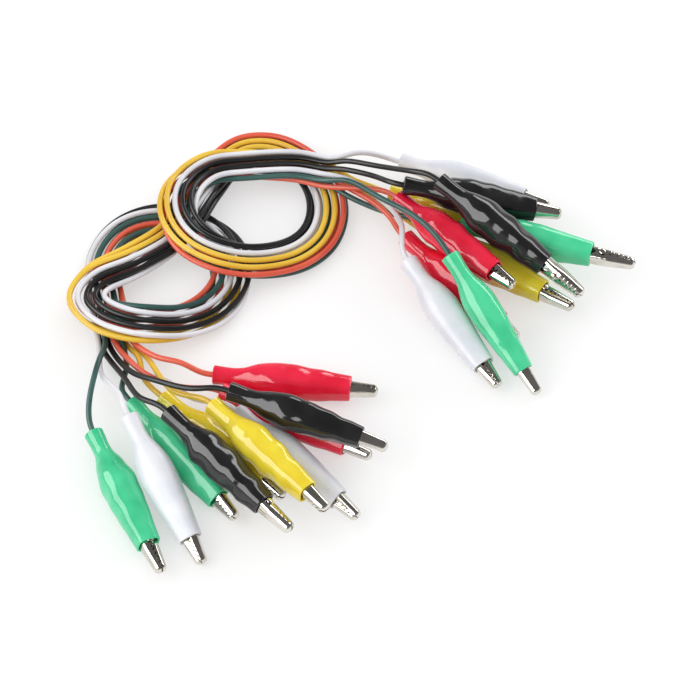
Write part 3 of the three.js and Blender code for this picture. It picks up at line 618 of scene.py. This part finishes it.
def jaw_shell(tail_half, hinge_half, nose_half, phase):
    """A jaw as one closed skin of sheet. A row goes up one side wall, over the rounded back
    and down the other, then back inside. A section is |y/b|^p + |z/h|^p = 1, with p from 5 at
    the handle to 2.4 at the nose, and starts at the height of the edge: a zigzag along the
    nose, a slot behind it, a round ear at the hinge and a lip along the handle. The nose
    closes by the factor (1 - s^n)^(1/n) of its share s, where n is NOSE_POWER."""
    s = np.sin(np.linspace(0, math.pi / 2, 12))[1:]
    x = np.concatenate([np.linspace(-HANDLE_REACH, HOLLOW_REAR - 0.2, 10),
                        np.linspace(HOLLOW_REAR + 0.2, SLOT_REAR - 0.2, 22),
                        np.linspace(SLOT_REAR + 0.05, TEETH_REAR - 0.2, 4),
                        TEETH_REAR + TOOTH_PITCH / 8 * np.arange(8 * TEETH + 1),
                        NOSE_START + (NOSE_REACH - NOSE_START) * s])
    nose = np.clip((x - NOSE_START) / (NOSE_REACH - NOSE_START), 0, 1)
    close = np.clip(1 - nose**NOSE_POWER, 0, 1) ** (1 / NOSE_POWER)
    half = np.interp(x, [-HANDLE_REACH, 0, NOSE_START], [tail_half, hinge_half, nose_half])
    back = np.interp(x, [-HANDLE_REACH, -HINGE_FLAT, HINGE_FLAT, NOSE_START],
                     [TAIL_SPREAD, HINGE_HALF_HEIGHT, HINGE_HALF_HEIGHT, NOSE_HALF_HEIGHT])
    half, back = half * close, BITE_HALF + (back - BITE_HALF) * close
    lip = back - SHEET - LIP_DEPTH * np.clip((x + HANDLE_REACH) / LIP_RUN, 0, 1)
    edge = np.where(x > 0, SLOT_HALF, np.maximum(lip, LOWEST_LIP))
    ear = -np.sqrt(np.clip(EAR_RADIUS**2 - x**2, 0, None))
    edge = np.where(np.abs(x) < EAR_RADIUS, ear, edge)
    edge = np.where((x > HOLLOW_REAR) & (x <= -EAR_RADIUS),
                    np.interp(x, [HOLLOW_REAR, -EAR_RADIUS],
                              [HINGE_HALF_HEIGHT - HOLLOW_DEPTH, 0]), edge)
    edge = np.where((x >= EAR_RADIUS) & (x < SLOT_REAR),
                    np.interp(x, [EAR_RADIUS, SLOT_REAR], [0, SLOT_HALF]), edge)
    tooth = np.mod((x - TEETH_REAR) / TOOTH_PITCH + phase, 1)
    zigzag = BITE_HALF + TOOTH_HALF_DEPTH * (1 - 4 * np.abs(tooth - 0.5))
    edge = np.where(x > TEETH_REAR - 0.01, zigzag, edge)
    edge = np.where(x > NOSE_START - 0.01, zigzag * (1 - nose) + BITE_HALF * nose, edge)
    power = np.interp(x, SECTION_STATIONS, SECTION_POWERS)[:, None]

    def across(half, back, x):
        """The rows from edge to edge, for a half width and back height at each x."""
        half, back, foot = half[:, None], back[:, None], edge[:, None]
        foot = np.minimum(foot, 0.96 * back)
        first = np.arcsin(np.clip(foot / back, 0, 1) ** (power / 2))
        t = np.linspace(0, 1, WALL_STEPS)[None]
        a = first + (math.pi / 2 - first) * t
        y = half * np.cos(a).clip(0, 1) ** (2 / power)
        z = back * np.sin(a) ** (2 / power) + np.minimum(foot, 0) * (1 - t) ** 4
        y = np.concatenate([-y, y[:, -2::-1]], 1)
        z = np.concatenate([z, z[:, -2::-1]], 1)
        return np.stack([x[:, None] + 0 * y, y, z], -1)

    outside = across(half, back, x)
    shrink = (NOSE_REACH - NOSE_START - SHEET) / (NOSE_REACH - NOSE_START)
    inner_x = np.where(x > NOSE_START, NOSE_START + (x - NOSE_START) * shrink, x)
    inside = across(np.clip(half - SHEET, 0, None), np.maximum(back - SHEET, 0.5 * back),
                    inner_x)
    rows, columns = outside.shape[:2]
    points = np.concatenate([outside, inside[:, ::-1]], 1)
    c = np.arange(columns - 1)
    tail = np.stack([c, c + 1, 2 * columns - 2 - c, 2 * columns - 1 - c], 1)
    return points, np.vstack([quads(rows, 2 * columns), tail])


def turned_over(points):
    """Half a turn about X, which makes the upper jaw's shape the lower one's."""
    return points * [1, -1, -1]


def lathe_x(x, r, sides=24):
    """An outline turned round X: each (x, r) becomes the ring (x, r cos a, r sin a)."""
    a = np.linspace(0, 2 * math.pi, sides, endpoint=False)[None]
    x, r = np.asarray(x, float)[:, None], np.asarray(r, float)[:, None]
    return np.stack([x + 0 * a, r * np.cos(a), r * np.sin(a)], -1)


CRIMP_FRONT = -18.4
CRIMP_RADII = (0.85, 1.25)
STRAP_HALF_WIDTH = 0.8
# (x, z) along the strap, from the end of the lower handle to the bottom of the barrel
STRAP_LINE = np.array([[-14.6, -TAIL_SPREAD], [-16.4, -TAIL_SPREAD + 0.1], [-17.6, -2.2],
                       [-18.5, -1.1], [-20.4, -1.05]])


def crimp_shells():
    """The strap from the lower handle, a strip of sheet along STRAP_LINE, and the barrel
    rolled round the wire, an outline turned round it."""
    ahead = np.gradient(STRAP_LINE, axis=0)
    across = np.stack([-ahead[:, 1], ahead[:, 0]], 1)
    across = across / np.linalg.norm(across, axis=1, keepdims=True) * -SHEET
    ring = [(-STRAP_HALF_WIDTH, 0), (STRAP_HALF_WIDTH, 0), (STRAP_HALF_WIDTH, 1),
            (-STRAP_HALF_WIDTH, 1)]
    strip = np.stack([np.insert(STRAP_LINE + across * t, 1, y, axis=1) for y, t in ring], 1)
    middle = strip.mean(1, keepdims=True)
    strip = np.concatenate([0 * strip[:1] + middle[:1], strip, 0 * strip[:1] + middle[-1:]])
    inner, outer = CRIMP_RADII
    barrel = lathe_x([CRIMP_REAR, CRIMP_FRONT, CRIMP_FRONT, CRIMP_REAR],
                     [outer, outer, inner, inner])
    return [(strip, quads(*strip.shape[:2])), (barrel, quads(*barrel.shape[:2], True))]


def nickel(name):
    """Bright nickel plate on steel sheet: fine drawing lines along it, cloudy patches and a few
    rubbed places."""
    material, shader, where = new_material(name)
    cloud = where.noise(240, 3).ramp(0.35, 0.7)
    rubbed = where.noise(1300, 4).ramp(0.55, 0.7)
    feed(shader, {"Base Color": cloud.mix(linear(226, 222, 214), linear(206, 201, 190)),
                  "Metallic": 1.0, "Roughness": 0.07 + rubbed * 0.1,
                  "Normal": where.noise(700, 2).bump(0.12, 0.00006)})
    return material


plate = nickel("nickel_plate")
# half widths at the handle, hinge and nose, and where the teeth start: the lower jaw's ears
# are inside the upper's, and its teeth are half a pitch on
upper_points, jaw_faces = jaw_shell(1.2, 2.15, 1.65, 0)
lower_points, lower_faces = jaw_shell(0.9, 1.32, 1.65, 0.5)

for key in CLIPS:
    label = label_of(key)
    top = make_piece(label + "_top_jaw", [(placed(upper_points, key), jaw_faces)], plate,
                     "nickel", smooth=35)
    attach(top, label + "_jaw")
    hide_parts(label + "_upper_jaw")
    shells = [(turned_over(lower_points), lower_faces), *crimp_shells()]
    bottom = make_piece(label + "_bottom_jaw", [(placed(p, key), f) for p, f in shells], plate,
                        "nickel", smooth=35)
    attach(bottom, "leads")
    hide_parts(label + ("_lower_jaw" if in_single_pieces(key) else "_body"))

# ---------------------------------------------------------------------------------------------
# Rivets. Each hinge turns on a plain rivet with a low domed head at both ends, of the same
# plated steel as the jaws.

RIVET_RADIUS = 0.5
RIVET_HEAD = 0.95
RIVET_END = 2.45
DOME_HEIGHT = 0.3


def rivet_shell():
    """The rivet's outline turned round Y: a shaft between two domes, whose places and radii
    are DOME_HEIGHT sin t and RIVET_HEAD cos t."""
    dome = np.linspace(0, math.pi / 2, 6)
    place = np.concatenate([[RIVET_END], RIVET_END + DOME_HEIGHT * np.sin(dome)])
    radius = np.concatenate([[RIVET_RADIUS], RIVET_HEAD * np.cos(dome)])
    place = np.concatenate([-place[::-1], place])
    radius = np.concatenate([radius[::-1], radius])
    return lathe_x(place, radius)[..., [1, 0, 2]]


rivet_points = rivet_shell()
for key in CLIPS:
    label = label_of(key)
    rivet = make_piece(label + "_hinge_rivet",
                       [(placed(rivet_points, key), quads(*rivet_points.shape[:2]))], plate,
                       "nickel")
    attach(rivet, "leads")
    if in_single_pieces(key):
        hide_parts(label + "_rivet")

# ---------------------------------------------------------------------------------------------
# Springs. A torsion spring of plain steel wire sits round each rivet, and its two legs press
# the handles apart.

SPRING_WIRE = 0.2
SPRING_RADIUS = 0.97
SPRING_TURNS = 1.5
SPRING_WIDTH = 0.75
LEG_REACH = 8.0
LEG_HEIGHT = 1.55
LEG_ASIDE = 0.1
# two places in a clip, behind the hinge, below and above it
SPRING_FOLLOWS = np.array([[-4.0, 0, -0.8], [-4.0, 0, 0.8]])


def spring_path():
    """A helix about Y, (r cos a, y, r sin a), from its top to its bottom, between two straight
    legs that run back to the handles."""
    a = math.pi / 2 - np.linspace(0, 2 * math.pi * SPRING_TURNS, 37)
    y = np.linspace(-SPRING_WIDTH / 2, SPRING_WIDTH / 2, len(a))
    helix = np.stack([SPRING_RADIUS * np.cos(a), y, SPRING_RADIUS * np.sin(a)], 1)
    reach = np.linspace(1, 0.12, 8)[:, None]
    first = helix[0] + ([-LEG_REACH, -LEG_ASIDE, LEG_HEIGHT] - helix[0]) * reach
    last = helix[-1] + ([-LEG_REACH, LEG_ASIDE, -LEG_HEIGHT] - helix[-1]) * reach[::-1]
    return np.vstack([first, helix, last])


def spring_steel(name):
    """Drawn spring wire: grey, with fine lines and darker oil stains."""
    material, shader, where = new_material(name)
    stain = where.noise(500, 3).ramp(0.45, 0.7)
    feed(shader, {"Base Color": stain.mix(linear(168, 170, 172), linear(120, 118, 114)),
                  "Metallic": 1.0, "Roughness": 0.28 + stain * 0.15,
                  "Normal": where.noise(2600, 2).bump(0.2, 0.00004)})
    return material


drawn_wire = spring_steel("drawn_spring_wire")
spring_points = tube(spring_path(), SPRING_WIRE, 8)
for key in CLIPS:
    label = label_of(key)
    spring = make_piece(label + "_torsion_spring",
                        [(placed(spring_points, key), quads(*spring_points.shape[:2]))],
                        drawn_wire, "spring_steel")
    low, high = placed(SPRING_FOLLOWS, key) / 1000
    label + "_jaw"
    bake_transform(spring)
    if in_single_pieces(key):
        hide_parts(label + "_spring")

# ---------------------------------------------------------------------------------------------
# Conductors. The bare ends of the copper strands show only inside the crimps, so the packed
# solids stay and take a finish of worn copper.


def bare_copper(name):
    """Copper strands: brighter ridges along the lay and browned valleys."""
    material, shader, where = new_material(name)
    brown = where.noise(900, 3).ramp(0.4, 0.65)
    feed(shader, {"Base Color": brown.mix(linear(210, 132, 92), linear(150, 84, 54)),
                  "Metallic": 1.0, "Roughness": 0.3 + brown * 0.2,
                  "Normal": where.noise(3000, 2).bump(0.3, 0.00005)})
    return material


strands = bare_copper("bare_copper")
for node in ("green_1_clip_a_conductor", "green_1_clip_b_conductor"):
    solid = frame["nodes"][node]
    solid.data.materials.clear()
    solid.data.materials.append(strands)

# ---------------------------------------------------------------------------------------------
# Floor and light. A sheet of white paper, and softboxes at the left and the back, each with a
# bright face that gloss mirrors and an even light that it doesn't. The room has pale walls and
# a dark ceiling, whose reflections shade the plated jaws.

FLOOR_HALF = 4.0


def grey(level):
    """A grey of a light value."""
    return (level, level, level, 1)


floor_corners = [[-FLOOR_HALF, -FLOOR_HALF, 0], [FLOOR_HALF, -FLOOR_HALF, 0],
                 [FLOOR_HALF, FLOOR_HALF, 0], [-FLOOR_HALF, FLOOR_HALF, 0]]
floor_mesh = bpy.data.meshes.new("floor")
floor_mesh.from_pydata(floor_corners, [], [[0, 1, 2, 3]])
floor = bpy.data.objects.new("floor", floor_mesh)
bpy.context.scene.collection.objects.link(floor)
paper, shader, where = new_material("white_paper")
# 1 where the camera or a reflection sees the paper, which is then near white
seen = where.math("MAXIMUM", where.node("ShaderNodeLightPath", {}, {}, "Is Camera Ray"),
                  where.node("ShaderNodeLightPath", {}, {}, "Is Glossy Ray"))
feed(shader, {"Base Color": seen.mix(grey(0.8), grey(0.5)),
              "Emission Color": seen.mix(grey(0), grey(1)),
              "Emission Strength": 0.5, "Roughness": 0.9, "Specular IOR Level": 0.0})
floor.data.materials.append(paper)


def softbox(name, place, width, height, radiance, mirrored):
    """An area lamp turned to the set, whose energy is its radiance times pi times its area.
    If mirrored it shows only in gloss and metal, and otherwise it only lights the rest."""
    lamp = bpy.data.lights.new(name, "AREA")
    lamp.shape, lamp.size, lamp.size_y = "RECTANGLE", width, height
    lamp.energy = radiance * math.pi * width * height
    box = bpy.data.objects.new(name, lamp)
    box.location = place
    box.visible_glossy, box.visible_diffuse = mirrored, not mirrored
    back = np.array(place)
    pitch = math.atan2(math.hypot(back[0], back[1]), back[2])
    box.rotation_euler = (pitch, 0, math.atan2(back[0], -back[1]))
    bpy.context.scene.collection.objects.link(box)


LEFT_PLACE = (-0.9, -0.3, 0.72)
BACK_PLACE = (0.62, 0.75, 0.45)
softbox("left_face", LEFT_PLACE, 1.9, 1.15, 4.4, True)
softbox("left_light", LEFT_PLACE, 1.1, 0.9, 1.9, False)
softbox("back_face", BACK_PLACE, 1.0, 0.3, 4.5, True)
softbox("back_light", BACK_PLACE, 1.0, 0.4, 2.6, False)

room = bpy.data.worlds.new("room")
room.use_nodes = True
bpy.context.scene.world = room
background = next(n for n in room.node_tree.nodes if n.type == "BACKGROUND")
direction = Socket(room.node_tree,
                   room.node_tree.nodes.new("ShaderNodeTexCoord").outputs["Generated"])
rise = direction.node("ShaderNodeSeparateXYZ", {}, {0: direction}, 2)
walls = rise.ramp(0.15, 0.5).mix(grey(0.5), grey(0.14))
lit = direction.node("ShaderNodeLightPath", {}, {}, "Is Diffuse Ray").mix(walls, grey(0.86))
feed(background, {"Color": direction.node("ShaderNodeLightPath", {}, {}, "Is Camera Ray")
                  .mix(lit, grey(1))})
